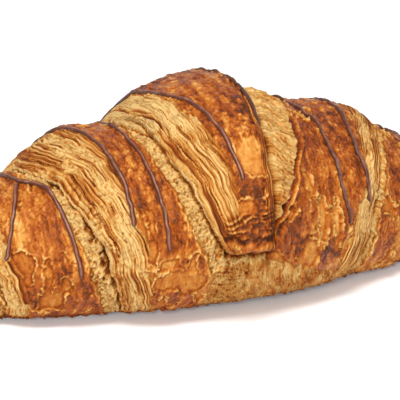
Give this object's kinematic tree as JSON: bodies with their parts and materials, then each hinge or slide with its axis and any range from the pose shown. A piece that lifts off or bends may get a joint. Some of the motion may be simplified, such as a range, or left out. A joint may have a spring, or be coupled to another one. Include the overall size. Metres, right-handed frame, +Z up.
{
  "type": "croissant",
  "caption": "Curved baked croissant with stepped laminated turns, a tongue tucked under the front and thin chocolate drizzle across the top.",
  "frame": {"origin": "middle of the croissant's box in plan, at the height of its flat base", "axes": "+X from the left tip to the right tip, -Y towards the front where the tongue is tucked under, +Z up"},
  "size_m": [0.169, 0.0794, 0.0583],
  "materials": {
    "crust": "baked, egg-washed, satin on the brown faces and matte on the pale layers",
    "chocolate": "set chocolate, soft gloss"
  },
  "bodies": {
    "root": {"dough": "crust", "drizzle_left_tip": "chocolate", "drizzle_left_outer": "chocolate", "drizzle_left_inner": "chocolate", "drizzle_left_shoulder": "chocolate", "drizzle_left_saddle": "chocolate", "drizzle_centre": "chocolate", "drizzle_right_edge": "chocolate", "drizzle_right_saddle": "chocolate", "drizzle_right_shoulder": "chocolate", "drizzle_right_tip": "chocolate"}
  },
  "joints": []
}
